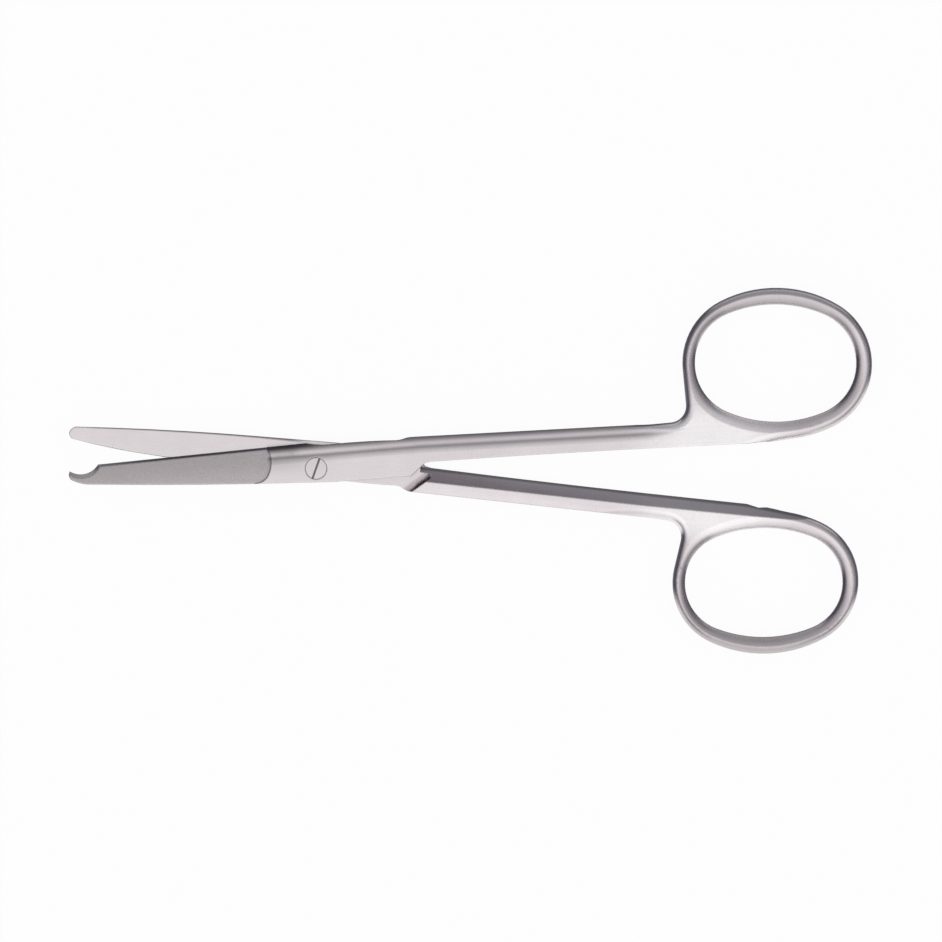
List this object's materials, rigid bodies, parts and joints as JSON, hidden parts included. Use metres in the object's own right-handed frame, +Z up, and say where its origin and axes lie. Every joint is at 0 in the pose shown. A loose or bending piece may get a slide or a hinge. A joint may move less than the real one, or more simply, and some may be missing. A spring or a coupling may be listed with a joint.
{
  "type": "suture scissors",
  "caption": "Straight steel suture scissors with a hooked, notched blade, a plain blunt blade, a screw joint and oval finger rings.",
  "frame": {"origin": "on the screw's axis, in the plane of the back of the joint, on which the scissors lie", "axes": "+X along the bisector of the open scissors, from the screw towards the finger rings; +Y to the side of the hooked half's ring; +Z up, out of the front face, along the screw's axis"},
  "size_m": [0.1296, 0.0593, 0.004],
  "materials": {
    "hooked_half": "satin",
    "plain_half": "satin",
    "pivot_screw": "fine turned"
  },
  "bodies": {
    "plain_half": {"plain_half": "plain_half", "pivot_screw": "pivot_screw"},
    "hooked_half": {"hooked_half": "hooked_half"}
  },
  "joints": [
    {"name": "blade_pivot", "type": "hinge", "parent": "plain_half", "child": "hooked_half", "pos_m": [0, 0, 0], "axis": [0, 0, 1], "range_deg": [-7.9, 52]}
  ]
}
